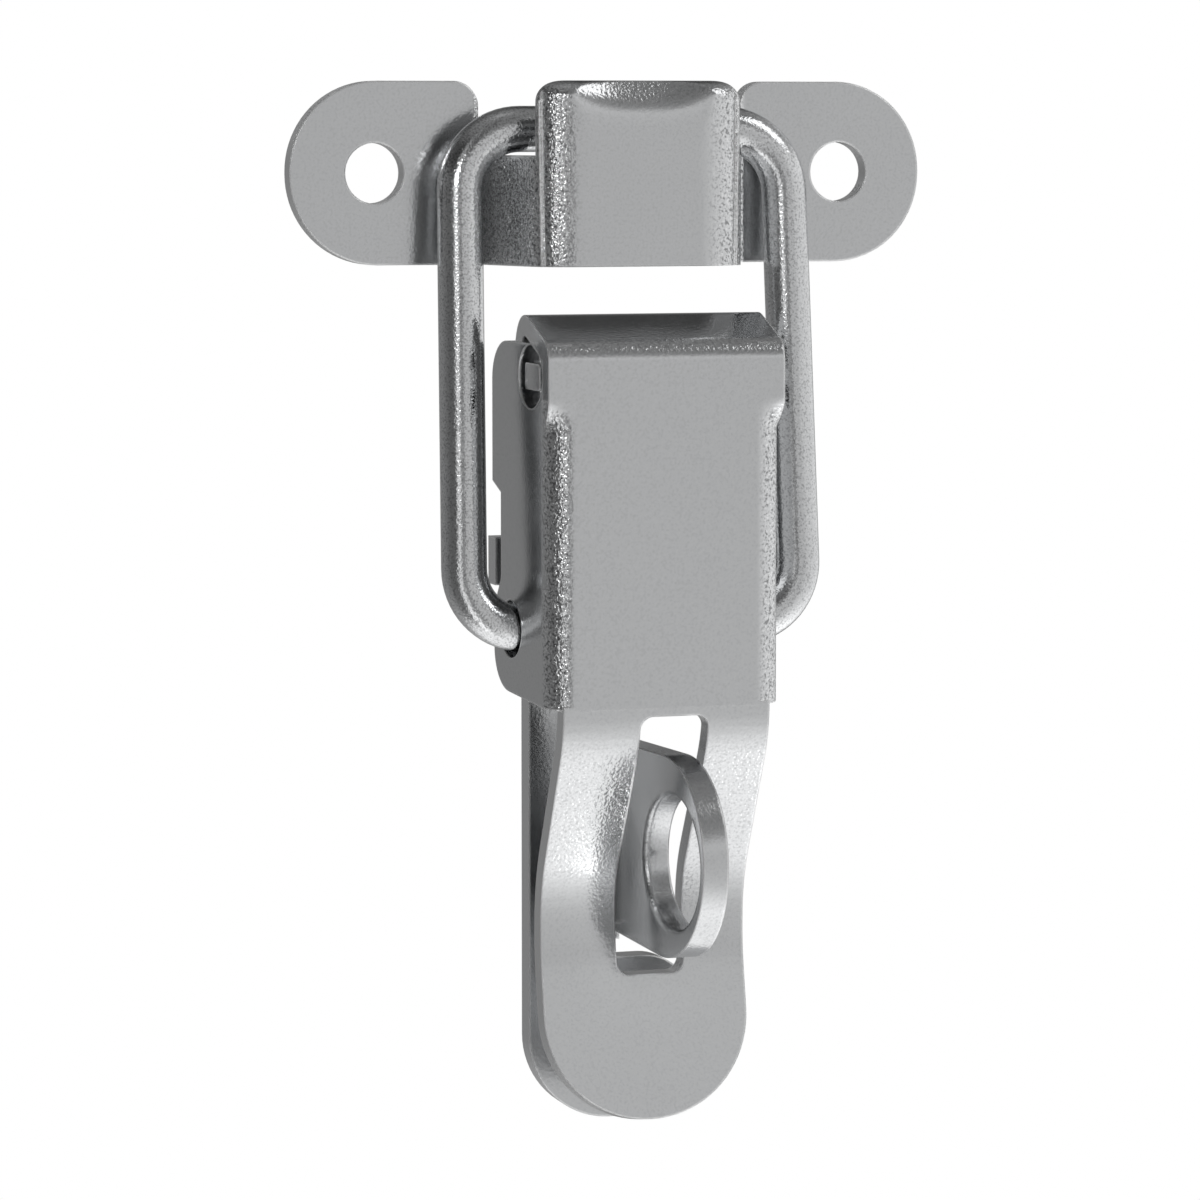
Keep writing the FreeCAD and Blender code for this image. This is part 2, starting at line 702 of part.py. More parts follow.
failed = [o.Name for o in doc.Objects if "Invalid" in o.State or "Error" in o.State]
if failed:
    raise RuntimeError("failed: " + ", ".join(failed))
for body in bodies:
    shape = body.Shape
    if shape.isNull() or not shape.isValid() or len(shape.Solids) != 1:
        raise RuntimeError(body.Label + " is not one valid solid")
    box = shape.BoundBox
    print(f"{body.Label}: {shape.Volume:.1f} mm3, x {box.XMin:.2f}..{box.XMax:.2f}, "
          f"y {box.YMin:.2f}..{box.YMax:.2f}, z {box.ZMin:.2f}..{box.ZMax:.2f}")

os.makedirs("parts", exist_ok=True)
for body in bodies:
    body.Shape.exportStep(f"parts/{body.Label}.step")
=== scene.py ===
# %% [markdown]
# # Over centre toggle latch
#
# This scene dresses a small steel latch: a hooked keeper, a wire bail, a folded lever and a base
# plate with an eye for a padlock. The construction is already in the frame, so the work here is
# the finish: every piece is pressed from sheet or bent from wire and then zinc plated.
# Lengths are in metres. -Y is the front of the latch and +Z is up.

# %% Load the frame
import json
import math

import bmesh
import bpy
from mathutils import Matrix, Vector

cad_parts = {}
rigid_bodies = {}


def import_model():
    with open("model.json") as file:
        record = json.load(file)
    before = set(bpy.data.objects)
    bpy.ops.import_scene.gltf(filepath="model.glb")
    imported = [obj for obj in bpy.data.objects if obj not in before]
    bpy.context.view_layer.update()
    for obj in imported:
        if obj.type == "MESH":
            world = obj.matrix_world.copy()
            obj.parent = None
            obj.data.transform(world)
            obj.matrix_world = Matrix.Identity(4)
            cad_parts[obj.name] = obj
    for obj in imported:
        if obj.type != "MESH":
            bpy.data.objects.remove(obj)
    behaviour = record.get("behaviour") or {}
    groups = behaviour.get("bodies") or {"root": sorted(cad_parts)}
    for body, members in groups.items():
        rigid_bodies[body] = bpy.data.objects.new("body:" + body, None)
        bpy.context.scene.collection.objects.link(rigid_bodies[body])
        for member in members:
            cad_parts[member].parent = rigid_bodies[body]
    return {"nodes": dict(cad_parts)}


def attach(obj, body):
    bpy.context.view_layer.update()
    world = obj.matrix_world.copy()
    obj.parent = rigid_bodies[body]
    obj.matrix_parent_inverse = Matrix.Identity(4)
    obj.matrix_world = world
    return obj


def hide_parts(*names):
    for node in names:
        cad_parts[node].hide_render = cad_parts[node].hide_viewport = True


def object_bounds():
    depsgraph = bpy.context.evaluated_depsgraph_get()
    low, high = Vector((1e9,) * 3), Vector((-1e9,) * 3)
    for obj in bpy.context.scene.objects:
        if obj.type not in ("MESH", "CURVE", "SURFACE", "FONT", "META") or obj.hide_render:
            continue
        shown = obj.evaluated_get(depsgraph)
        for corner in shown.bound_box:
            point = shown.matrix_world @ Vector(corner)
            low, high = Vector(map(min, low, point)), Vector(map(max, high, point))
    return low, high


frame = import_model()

for leftover in [thing for thing in bpy.data.objects if thing.name in ("Cube", "Light", "Camera")]:
    bpy.data.objects.remove(leftover)
cad_low, cad_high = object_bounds()
print("size of the latch in mm:", [round(1000 * length, 1) for length in cad_high - cad_low])

# %% [markdown]
# ## Camera
#
# The photograph was taken a little from the left and a little from above, with a long lens, so
# that the sides of the latch stay nearly parallel. The camera is placed by the direction it looks
# from, its distance, and the point of the latch that is in the middle of the picture. A long lens
# is the choice here, because a short one would spread the keeper's wings.

# %% Place the camera
MM = 0.001
CAMERA_AZIMUTH = math.radians(-17.45)
CAMERA_ELEVATION = math.radians(5.67)
CAMERA_DISTANCE = 374.1 * MM
CAMERA_LENS = 145.65           # focal length in mm
SENSOR_WIDTH = 36.0            # in mm
NEAREST_SEEN = 10 * MM
AIM = Vector((-1.85, -5.0, 19.22)) * MM

level = math.cos(CAMERA_ELEVATION)
towards_camera = Vector((
    math.sin(CAMERA_AZIMUTH) * level,
    -math.cos(CAMERA_AZIMUTH) * level,
    math.sin(CAMERA_ELEVATION),
))
lens = bpy.data.cameras.new("camera")
lens.lens = CAMERA_LENS
lens.sensor_width = SENSOR_WIDTH
lens.clip_start = NEAREST_SEEN
camera = bpy.data.objects.new("camera", lens)
camera.location = AIM + towards_camera * CAMERA_DISTANCE
camera.rotation_euler = towards_camera.to_track_quat("Z", "Y").to_euler()
bpy.context.scene.collection.objects.link(camera)
bpy.context.scene.camera = camera
print("camera at", [round(value / MM) for value in camera.location], "mm")

# %% [markdown]
# ## Helpers for materials
#
# Colours are written as sRGB hex values, because that is how a colour is picked from a swatch.
# Blender's sockets want linear light, so one function turns a hex value into linear numbers.
# A second one adds a node, sets its values and links its inputs in one line. The light round the
# latch is described by ramps over an angle, so the same function can fill a ramp's stops.

# %% Colour and node helpers
def hex_colour(text):
    """sRGB hex such as #C0C0C0 to a linear RGBA colour."""
    parts = [int(text[i:i + 2], 16) / 255 for i in (1, 3, 5)]
    linear = [c / 12.92 if c <= 0.04045 else ((c + 0.055) / 1.055) ** 2.4 for c in parts]
    return (*linear, 1.0)


def add(tree, kind, inputs=None, stops=None, **settings):
    """Add a node. inputs gives sockets a value or a link, and stops fills a ramp with greys."""
    node = tree.nodes.new(kind)
    for name, value in settings.items():
        setattr(node, name, value)
    for name, value in (inputs or {}).items():
        socket = node.inputs[name]
        if isinstance(value, bpy.types.NodeSocket):
            tree.links.new(value, socket)
        else:
            socket.default_value = value
    for index, (position, grey) in enumerate(stops or []):
        elements = node.color_ramp.elements
        stop = elements[index] if index < 2 else elements.new(position)
        stop.position = position
        stop.color = (grey, grey, grey, 1)
    return node


def new_material(name):
    """An empty material with its output node."""
    material = bpy.data.materials.new(name)
    material.use_nodes = True
    tree = material.node_tree
    tree.nodes.clear()
    return material, tree, tree.nodes.new("ShaderNodeOutputMaterial")


print("mid grey is", round(hex_colour("#808080")[0], 3), "in linear light")

# %% [markdown]
# ## Zinc-plated pressed steel
#
# Cold rolled sheet has a fine grain from the rolls, and where a press has bent it the skin opens
# into a rough orange peel. Bright zinc plating follows both. To the eye the flat faces are an even
# soft grey, and the bends break the light up into black and white specks, which are painted into
# the colour: black specks are painted shade in the pits and white specks are painted glints on
# the crests. A flat face of this latch looks along one of its axes, and a bend looks along two at
# once, so two parts of the surface's own direction multiplied tell how bent the place is. The
# tongue and the tab are a little slanted, so the pairs with Z in them start later and count less.
# The result sets how high the peel stands and how much of the painted specks shows.
#
# A sheared edge is never quite sharp, so the Bevel node rounds it by a quarter of a millimetre.
# Where it turns the surface most, a painted edge highlight makes the colour whiter, and the plate
# is more matt. A mask painted by hand could do the same, but it would have to be painted again
# after every change of shape.

# %% Zinc-plated steel
BENDS = (                      # two axes, their product where a bend starts and is full, its part
    ("X", "Y", 0.10, 0.34, 1.0),
    ("Y", "Z", 0.24, 0.50, 0.35),
    ("X", "Z", 0.24, 0.50, 0.6),
)
# Painted specks: the dark colour is painted shade and the white colour is painted glints.
PAINTED_SPECKS = (                     # height of the peel where a speck starts and is full, part, colour
    (0.47, 0.36, 1.0, "#303132"),
    (0.56, 0.68, 0.5, "#FFFFFF"),
)
PEEL_SIZE = 0.85               # size of the specks, in grains
PEEL_SEED = 3.0
# Painted edge highlight: where the Bevel node turns the surface, the colour is painted white and
# the roughness is raised.
EDGE_HIGHLIGHT_FROM, EDGE_HIGHLIGHT_FULL = 0.985, 0.90     # cosine of the turn at an edge
EDGE_HIGHLIGHT_PART = 0.7
EDGE_HIGHLIGHT_COLOUR = "#FFFFFF"
EDGE_ROUGHNESS = 0.45
CLOUD_SIZE = 20                # size of the soft clouds in the shine, in grains
CLOUD_LOW, CLOUD_HIGH = 0.3, 0.7
SHINE_LOW, SHINE_HIGH = 0.8, 1.2           # parts of the roughness between which it varies


def bend_share(tree, direction):
    """How bent the surface is, from 0 on a flat face to 1 in a bend."""
    facing = add(tree, "ShaderNodeSeparateXYZ", {0: direction})
    bent = 0.0
    for first, second, start, full, part in BENDS:
        both = add(tree, "ShaderNodeMath",
                   {0: facing.outputs[first], 1: facing.outputs[second]}, operation="MULTIPLY")
        size = add(tree, "ShaderNodeMath", {0: both.outputs[0]}, operation="ABSOLUTE")
        share = add(tree, "ShaderNodeMapRange",
                    {"Value": size.outputs[0], "From Min": start, "From Max": full,
                     "To Max": part})
        bent = add(tree, "ShaderNodeMath", {0: share.outputs[0], 1: bent},
                   operation="MAXIMUM").outputs[0]
    return bent


def between(tree, share, ends):
    """A value that goes from one end to the other with a share."""
    spread = add(tree, "ShaderNodeMapRange",
                 {"Value": share, "To Min": ends[0], "To Max": ends[1]})
    return spread.outputs[0]


def mixed_colour(tree, share, colour, other):
    """A colour with a share of another hex colour in it."""
    mix = add(tree, "ShaderNodeMix", {"Factor": share, "A": colour, "B": hex_colour(other)},
              data_type="RGBA")
    return mix.outputs["Result"]


def zinc_plated_steel(name, colour, roughness, grain_size, heights, specks, edge):
    """Bright zinc plate over steel. heights and specks are for a flat face and for a bend."""
    material, tree, output = new_material(name)
    place = add(tree, "ShaderNodeTexCoord")
    bent = bend_share(tree, place.outputs["Normal"])
    standing = between(tree, bent, heights)
    showing = between(tree, bent, specks)
    grain = add(tree, "ShaderNodeTexNoise",
                {"Vector": place.outputs["Object"], "Scale": 1 / grain_size, "Detail": 1.0})
    edges = add(tree, "ShaderNodeBevel", {"Radius": edge}, samples=4)
    bump = add(tree, "ShaderNodeBump",
               {"Height": grain.outputs["Fac"], "Distance": standing,
                "Normal": edges.outputs[0]})
    turned = add(tree, "ShaderNodeVectorMath",
                 {0: edges.outputs[0], 1: add(tree, "ShaderNodeNewGeometry").outputs["Normal"]},
                 operation="DOT_PRODUCT")
    # Mask of the painted edge highlight, strongest where the Bevel node turns the surface most.
    edge_highlight = add(tree, "ShaderNodeMapRange",
                 {"Value": turned.outputs["Value"], "From Min": EDGE_HIGHLIGHT_FROM,
                  "From Max": EDGE_HIGHLIGHT_FULL, "To Max": EDGE_HIGHLIGHT_PART})
    # This noise places the painted specks: painted shade at its low values, painted glints at its
    # high ones.
    peel = add(tree, "ShaderNodeTexNoise",
               {"Vector": place.outputs["Object"], "Scale": 1 / (PEEL_SIZE * grain_size),
                "Detail": 1.0, "W": PEEL_SEED}, noise_dimensions="4D")
    surface_colour = hex_colour(colour)
    # Paint the specks into the colour, mostly on the bends: dark specks are painted shade, white
    # specks painted glints.
    for start, full, part, speck in PAINTED_SPECKS:
        spread = add(tree, "ShaderNodeMapRange",
                     {"Value": peel.outputs["Fac"], "From Min": start, "From Max": full,
                      "To Max": part})
        amount = add(tree, "ShaderNodeMath", {0: spread.outputs[0], 1: showing},
                     operation="MULTIPLY")
        surface_colour = mixed_colour(tree, amount.outputs[0], surface_colour, speck)
    # Paint the edge highlight into the colour.
    surface_colour = mixed_colour(tree, edge_highlight.outputs[0], surface_colour, EDGE_HIGHLIGHT_COLOUR)
    cloud = add(tree, "ShaderNodeTexNoise",
                {"Vector": place.outputs["Object"], "Scale": 1 / (CLOUD_SIZE * grain_size),
                 "Detail": 3.0})
    shine = add(tree, "ShaderNodeMapRange",
                {"Value": cloud.outputs["Fac"], "From Min": CLOUD_LOW, "From Max": CLOUD_HIGH,
                 "To Min": roughness * SHINE_LOW, "To Max": roughness * SHINE_HIGH})
    matt = add(tree, "ShaderNodeMix",
               {"Factor": edge_highlight.outputs[0], "A": shine.outputs[0], "B": EDGE_ROUGHNESS})
    surface = add(tree, "ShaderNodeBsdfPrincipled",
                  {"Base Color": surface_colour, "Metallic": 1.0,
                   "Roughness": matt.outputs[0], "Normal": bump.outputs[0]})
    tree.links.new(surface.outputs[0], output.inputs["Surface"])
    return material


ZINC = "#CBCCCD"
sheet_steel = zinc_plated_steel(
    "zinc_plated_sheet_steel", ZINC, roughness=0.17, grain_size=0.24 * MM,
    heights=(0.008 * MM, 0.100 * MM), specks=(0.06, 0.60), edge=0.26 * MM)
wire_steel = zinc_plated_steel(
    "zinc_plated_drawn_wire", ZINC, roughness=0.14, grain_size=0.20 * MM,
    heights=(0.022 * MM, 0.022 * MM), specks=(0.32, 0.32), edge=0.05 * MM)
plate_steel = zinc_plated_steel(
    "zinc_plated_thick_plate", ZINC, roughness=0.20, grain_size=0.24 * MM,
    heights=(0.008 * MM, 0.030 * MM), specks=(0.06, 0.25), edge=0.26 * MM)
for name, finish in (("keeper", sheet_steel), ("lever", sheet_steel),
                     ("base_plate", plate_steel), ("wire_bail", wire_steel)):
    frame["nodes"][name].material_slots[0].material = finish
print("materials:", [material.name for material in bpy.data.materials])

# %% [markdown]
# ## Forms pressed into the sheet
#
# A press leaves softer forms than the construction has. Each of the three sheets therefore gets a
# copy that stands for the CAD node. The copy's loose triangles are merged, cut by planes where it
# needs more points, and its points are moved by a small function. Sculpting by hand could do the
# same, but a function keeps the sizes in millimetres and the same in every run.

# %% Copy a sheet and press it
MERGE_DISTANCE = 0.0005 * MM
ON_PLANE = 0.001 * MM          # a point this near to a cutting plane isn't cut
SHARP_SHEET = 32               # degrees from which an edge is shaded as a sharp one


def merged_copy(node):
    """The CAD node's mesh with its loose triangles joined."""
    shape = bmesh.new()
    shape.from_mesh(frame["nodes"][node].data)
    bmesh.ops.remove_doubles(shape, verts=shape.verts, dist=MERGE_DISTANCE)
    return shape


def steps(first, last, count):
    """Evenly spaced numbers from first to last."""
    return [first + (last - first) * i / (count - 1) for i in range(count)]


def cut_for_pressing(shape, region, axis, places):
    """Cut the faces that reach into a region by planes across one axis."""
    for place in places:
        faces = [face for face in shape.faces
                 if any(region(vertex.co, face.normal) for vertex in face.verts)]
        parts = list(dict.fromkeys(
            faces + [part for face in faces for part in (*face.verts, *face.edges)]))
        point = Vector([place if i == axis else 0 for i in range(3)])
        way = Vector([1 if i == axis else 0 for i in range(3)])
        bmesh.ops.bisect_plane(shape, geom=parts, dist=ON_PLANE, plane_co=point, plane_no=way)


def press_points(shape, press):
    """Move every point by a function of its place and the surface's direction."""
    bmesh.ops.triangulate(shape, faces=shape.faces)
    shape.normal_update()
    moves = [(vertex, press(vertex.co.copy(), vertex.normal.copy())) for vertex in shape.verts]
    for vertex, place in moves:
        vertex.co = place


def shaded_object(shape, name, material, sharp):
    """A linked object with a smooth surface and sharp edges from an angle in degrees."""
    for face in shape.faces:
        face.smooth = True
    for edge in shape.edges:
        edge.smooth = edge.calc_face_angle(0) < math.radians(sharp)
    mesh = bpy.data.meshes.new(name)
    shape.to_mesh(mesh)
    shape.free()
    mesh.materials.append(material)
    piece = bpy.data.objects.new(name, mesh)
    bpy.context.scene.collection.objects.link(piece)
    return piece


def finish_copy(shape, name, node, body, material=sheet_steel):
    """Shade the pressed copy, put it in the node's place and let it move with the body."""
    shape.normal_update()
    piece = shaded_object(shape, name, material, SHARP_SHEET)
    weighted = piece.modifiers.new("even_shading", "WEIGHTED_NORMAL")
    weighted.keep_sharp = True
    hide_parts(node)
    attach(piece, body)
    return piece


print("the nodes that get a copy: keeper, lever, base_plate")

# %% [markdown]
# ### The keeper's hump
#
# The hump is drawn out of flat sheet, so its two front bends are wider than a simple fold, and
# its top edge is drawn down in the middle like a smile. The bends become a part of an ellipse,
# and the smile is a slope that leaves the front softly and is longest in the middle. The floor
# of the notches is raised to just under the shut wire, as on the real hook. The construction
# keeps it lower, because its wire needs the room on its way out.

# %% Press the hump
HUMP_FRONT = -10.4 * MM
HUMP_TOP = 59.0 * MM
HUMP_BOTTOM = 43 * MM          # a level below the hump
HUMP_HALF = 7.6 * MM           # half the width of the hump
HUMP_BEND = 3.4 * MM           # how far across its two front bends are softened
HUMP_BEND_DEPTH = 1.45 * MM    # and how far back, to just in front of the notches
BEND_MARGIN = 0.1 * MM
SMILE_DEPTH = 1.9 * MM         # how far down the front it reaches in the middle
SMILE_HALF = 6.4 * MM          # half its width
SMILE_SLOPE = 0.62             # how far back for each length up
SMILE_SOFT = 0.9 * MM          # how softly it leaves the front
SMILE_FORWARD = 0.03 * MM      # makes up for the soft start, which would reach too far down
SMILE_REACH_DOWN = 4.4 * MM    # the region that it can change
SMILE_REACH_BACK = 2.4 * MM
NOTCH_INSIDE, NOTCH_OUTSIDE = 4.9 * MM, 12 * MM
NOTCH_FLOOR_CAD = 51.9 * MM    # just under the construction's floor
NOTCH_FLOOR = 53.36 * MM       # floor of the hook's notches, just under the shut wire


def on_hump_edge(place, normal):
    """The outside of the hump near the top of its front."""
    return (abs(place.x) < HUMP_HALF and place.z > HUMP_TOP - SMILE_REACH_DOWN
            and place.y < HUMP_FRONT + SMILE_REACH_BACK and (normal.y < -0.3 or normal.z > 0.3))


def on_hump_bend(place, normal):
    """The outside of the hump's two front bends."""
    return (HUMP_HALF - HUMP_BEND - BEND_MARGIN < abs(place.x) < HUMP_HALF + BEND_MARGIN
            and place.y < HUMP_FRONT + HUMP_BEND_DEPTH and place.z > HUMP_BOTTOM
            and normal.y < -0.2)


def press_hump(place, normal):
    """Soften the bends, raise the notches' floor and draw the top edge down."""
    if on_hump_bend(place, normal):
        across = (abs(place.x) - (HUMP_HALF - HUMP_BEND)) / HUMP_BEND
        across = min(max(across, 0), 1)
        back = HUMP_BEND_DEPTH * (1 - math.sqrt(1 - across ** 2))
        place.y = max(place.y, HUMP_FRONT + back)
    if (NOTCH_INSIDE < abs(place.x) < NOTCH_OUTSIDE
            and NOTCH_FLOOR_CAD < place.z < NOTCH_FLOOR):
        return Vector((place.x, place.y, NOTCH_FLOOR))
    if not on_hump_edge(place, normal) or abs(place.x) > SMILE_HALF:
        return place
    share = 1 - abs(place.x / SMILE_HALF) ** 3
    above = place.z - (HUMP_TOP - SMILE_DEPTH * share)
    soft = (above + math.sqrt(above * above + SMILE_SOFT ** 2)) / 2
    wanted = HUMP_FRONT + SMILE_SLOPE * soft - SMILE_FORWARD
    return Vector((place.x, max(place.y, wanted), place.z))


keeper_shape = merged_copy("keeper")
cut_for_pressing(keeper_shape, on_hump_edge, 2,
                 steps(HUMP_TOP - 4.6 * MM, HUMP_TOP - 0.1 * MM, 22))
cut_for_pressing(keeper_shape, on_hump_edge, 0, steps(-SMILE_HALF, SMILE_HALF, 27))
for side in (-1, 1):
    cut_for_pressing(keeper_shape, on_hump_bend, 0, steps(side * 4.5 * MM, side * 7.5 * MM, 11))
press_points(keeper_shape, press_hump)
keeper = finish_copy(keeper_shape, "keeper_pressed", "keeper", "plates")
print("keeper:", len(keeper.data.polygons), "triangles")

# %% [markdown]
# ### The lever's crease and its dish
#
# The front of the lever turns into the tongue over a tight crease, and the finger tab is dished
# round its slot. The crease is made by drawing the bend's points towards its middle and then
# moving the smaller bend out into the corner, so that both flats stay in their planes. The dish
# is a soft round hollow: every point of the tab goes back by a bell curve of its distance.

# %% Press the lever
ROLL_MIDDLE = Vector((-13.2, 37.41)) * MM      # y and z of the middle of the tongue's bend
ROLL_NEAR, ROLL_FAR = 1.1 * MM, 2.9 * MM       # the bend's sheet lies between these radii
ROLL_TURN = math.radians(71)                   # how far the tongue is turned from the front
ROLL_BEFORE = 0.03                             # radians that still count as its start
ROLL_TIGHTER = 0.95 * MM                       # how much smaller its radius becomes
ROLL_UP = 0.70                                 # about the tangent of half the turn
DISH = Vector((0.4, -1.2)) * MM                # x and z of the middle of the dish
DISH_WIDTH, DISH_HEIGHT = 4.2 * MM, 6.0 * MM   # from its middle to where it is a third as deep
DISH_DEPTH = 0.9 * MM
DISH_FROM, DISH_TO = -16 * MM, 13 * MM         # the heights that it can change
TAB_FROM, TAB_TO = -14 * MM, 11 * MM           # the heights that get more points
TAB_HALF = 8.2 * MM


def on_tab(place, normal):
    """Front and back of the finger tab round the slot."""
    return TAB_FROM < place.z < TAB_TO and abs(normal.y) > 0.5 and abs(place.x) < TAB_HALF


def press_lever(place, normal):
    """Tighten the bend at the top and dish the tab."""
    arm = Vector((place.y, place.z)) - ROLL_MIDDLE
    angle = math.atan2(arm.y, -arm.x)
    if ROLL_NEAR < arm.length < ROLL_FAR and -ROLL_BEFORE < angle < ROLL_TURN:
        angle = max(angle, 0)
        move = Vector((-1 + math.cos(angle), ROLL_UP - math.sin(angle))) * ROLL_TIGHTER
        return place + Vector((0, move.x, move.y))
    if DISH_FROM < place.z < DISH_TO:
        away = ((place.x - DISH.x) / DISH_WIDTH) ** 2 + ((place.z - DISH.y) / DISH_HEIGHT) ** 2
        return place + Vector((0, DISH_DEPTH * math.exp(-away), 0))
    return place


lever_shape = merged_copy("lever")
cut_for_pressing(lever_shape, on_tab, 2, steps(-13.5 * MM, 10.5 * MM, 32))
cut_for_pressing(lever_shape, on_tab, 0, steps(-7.6 * MM, 7.6 * MM, 21))
press_points(lever_shape, press_lever)
lever = finish_copy(lever_shape, "lever_pressed", "lever", "lever")
print("lever:", len(lever.data.polygons), "triangles")

# %% [markdown]
# ### The padlock eye's hole
#
# The hole is punched, and its rim on the left face is coined, so that the shackle slides in. The
# rim's edges are picked by where they are and rounded by the bevel operator. The base plate is
# first freed of the flat triangles round the hole, because a bevel needs clean faces to run on.

# %% Coin the rim of the eye's hole
EYE_HOLE = Vector((-15.4, 0.2)) * MM           # y and z of its middle
EYE_HOLE_RADIUS = 5.1 * MM
EYE_MIDDLE = 1.5 * MM                          # x of the middle of the sheet there
EYE_LEAN = math.tan(math.radians(5.5))
RIM = 0.42 * MM
RIM_MARGIN = 0.3 * MM
RIM_SHARP = math.radians(60)                   # the rim is the edge that turns more than this
FLAT = math.radians(0.5)


def on_left_rim(edge):
    """An edge of the hole on the left face of the eye."""
    for vertex in edge.verts:
        place = vertex.co
        away = (Vector((place.y, place.z)) - EYE_HOLE).length
        middle = EYE_MIDDLE + (EYE_HOLE.x - place.y) * EYE_LEAN
        if abs(away - EYE_HOLE_RADIUS) > RIM_MARGIN or place.x > middle:
            return False
    return edge.calc_face_angle(0) > RIM_SHARP


plate_shape = merged_copy("base_plate")
bmesh.ops.dissolve_limit(plate_shape, angle_limit=FLAT, verts=plate_shape.verts,
                         edges=plate_shape.edges)
rim = [edge for edge in plate_shape.edges if on_left_rim(edge)]
bmesh.ops.bevel(plate_shape, geom=rim, offset=RIM, segments=3, profile=0.5, affect="EDGES",
                material=-1)
bmesh.ops.triangulate(plate_shape, faces=plate_shape.faces)
base_plate = finish_copy(plate_shape, "base_plate_coined", "base_plate", "plates", plate_steel)
print("base plate:", len(rim), "edges coined,", len(base_plate.data.polygons), "triangles")

# %% [markdown]
# ## The lever's flares
#
# The lever's sides are bent back from its front, and the bends run out just below the top. There
# the sheet opens out like a bell, from the round bend to the flat tongue. The source stops the
# bend with a step. The soft form between is a small patch of sheet on each side: a grid whose
# upper edge is laid flat like the tongue and whose lower edge is wrapped round the bend. In
# between it goes smoothly from one to the other, and then it gets the thickness of the sheet.
# Its upper and inner edges dip just under the lever's surface, so that no rim shows there.

# %% Make the two flares
WEB_FRONT = -16.0 * MM         # front face of the lever
BEND_START = 6.95 * MM         # where the bend leaves the front face
BEND_RADIUS = 2.2 * MM
BEND_TURN = 84                 # degrees of the bend that the flare covers
TONGUE_EDGE = 9.3 * MM
FLARE_TOP = 36.8 * MM          # its upper edge, just under the surface
FLARE_HEIGHT = 4.9 * MM
FLARE_START = 0.3              # share of the height that stays flat
FLARE_INSIDE = 0.15            # share of the width over which it comes up to the surface
BURIED = 0.03 * MM             # how far its edges dip under the lever's surface
RAISED = 0.045 * MM            # how far its middle comes up again
FLARE_SHEET = 1.6 * MM * 0.9   # a little thinner than the lever's sheet, to stay inside it
SHARP_FLARE = 40


def eased(share):
    """0 to 1 with a soft start and a soft end."""
    return share * share * (3 - 2 * share)


def flare_place(across, down):
    """A place on the right flare, from its shares of the width and of the height."""
    turn = math.radians(BEND_TURN * across)
    proud = min(down / FLARE_START, across / FLARE_INSIDE, 1)
    edge = TONGUE_EDGE - BURIED * (1 - min(down / FLARE_START, 1))
    flat = Vector((BEND_START + (edge - BEND_START) * across,
                   WEB_FRONT + BURIED - RAISED * proud))
    bend = Vector((BEND_START + BEND_RADIUS * math.sin(turn),
                   WEB_FRONT + BEND_RADIUS * (1 - math.cos(turn)) + BURIED * (1 - proud)))
    place = flat.lerp(bend, eased(max(down - FLARE_START, 0) / (1 - FLARE_START)))
    return Vector((place.x, place.y, FLARE_TOP - FLARE_HEIGHT * down))


def make_flare(name, side):
    """A patch that is flat above and wrapped round the bend below."""
    shape = bmesh.new()
    bmesh.ops.create_grid(shape, x_segments=12, y_segments=16, size=0.5)
    for vertex in shape.verts:
        place = flare_place(vertex.co.x + 0.5, 0.5 - vertex.co.y)
        vertex.co = (side * place.x, place.y, place.z)
    bmesh.ops.recalc_face_normals(shape, faces=shape.faces)
    if sum(face.normal.y for face in shape.faces) > 0:
        bmesh.ops.reverse_faces(shape, faces=shape.faces)
    bmesh.ops.solidify(shape, geom=shape.faces[:], thickness=FLARE_SHEET)
    bmesh.ops.recalc_face_normals(shape, faces=shape.faces)
    piece = shaded_object(shape, name, sheet_steel, SHARP_FLARE)
    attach(piece, "lever")
    return piece


flares = [make_flare("lever_flare_left", -1), make_flare("lever_flare_right", 1)]
print("flares:", [(flare.name, len(flare.data.polygons)) for flare in flares])

# %% [markdown]
# ## Floor
#
# The latch hangs on its mounting face, so the floor is well below it. It is a plain pale disc,
# large enough to catch the soft shadow. Mirrored rays pass it by and see the room instead.
# Part of its paint glows for the camera's own rays, so that it stays pale under the soft light.

# %% Lay the floor
FLOOR_DROP = 90 * MM
FLOOR_RADIUS = 210 * MM
FLOOR_SIDES = 96
FLOOR_PAINT = "#F4F4F4"
FLOOR_GLOW = 0.75              # the glowing share of what the camera sees


def floor_paint():
    """Pale matt paint that glows a little for the camera."""
    material, tree, output = new_material("pale_floor")
    paint = add(tree, "ShaderNodeBsdfDiffuse", {"Color": hex_colour(FLOOR_PAINT)})
    glow = add(tree, "ShaderNodeEmission", {"Color": (1, 1, 1, 1), "Strength": 1.0})
    path = add(tree, "ShaderNodeLightPath")
    seen = add(tree, "ShaderNodeMath", {0: path.outputs["Is Camera Ray"], 1: FLOOR_GLOW},
               operation="MULTIPLY")
    pale = add(tree, "ShaderNodeMixShader", {0: seen.outputs[0], 1: paint.outputs[0],
                                             2: glow.outputs[0]})
    tree.links.new(pale.outputs[0], output.inputs["Surface"])
    return material


def make_floor():
    """A pale round floor under the latch."""
    mesh = bpy.data.meshes.new("floor")
    shape = bmesh.new()
    bmesh.ops.create_circle(shape, cap_ends=True, segments=FLOOR_SIDES, radius=FLOOR_RADIUS)
    bmesh.ops.translate(shape, verts=shape.verts, vec=(0, 0, cad_low.z - FLOOR_DROP))
    shape.to_mesh(mesh)
    shape.free()
    mesh.materials.append(floor_paint())
    floor = bpy.data.objects.new("floor", mesh)
    bpy.context.scene.collection.objects.link(floor)
    floor.visible_glossy = False
    return floor


make_floor()
print("floor", round((cad_low.z - FLOOR_DROP) / MM), "mm from the origin")

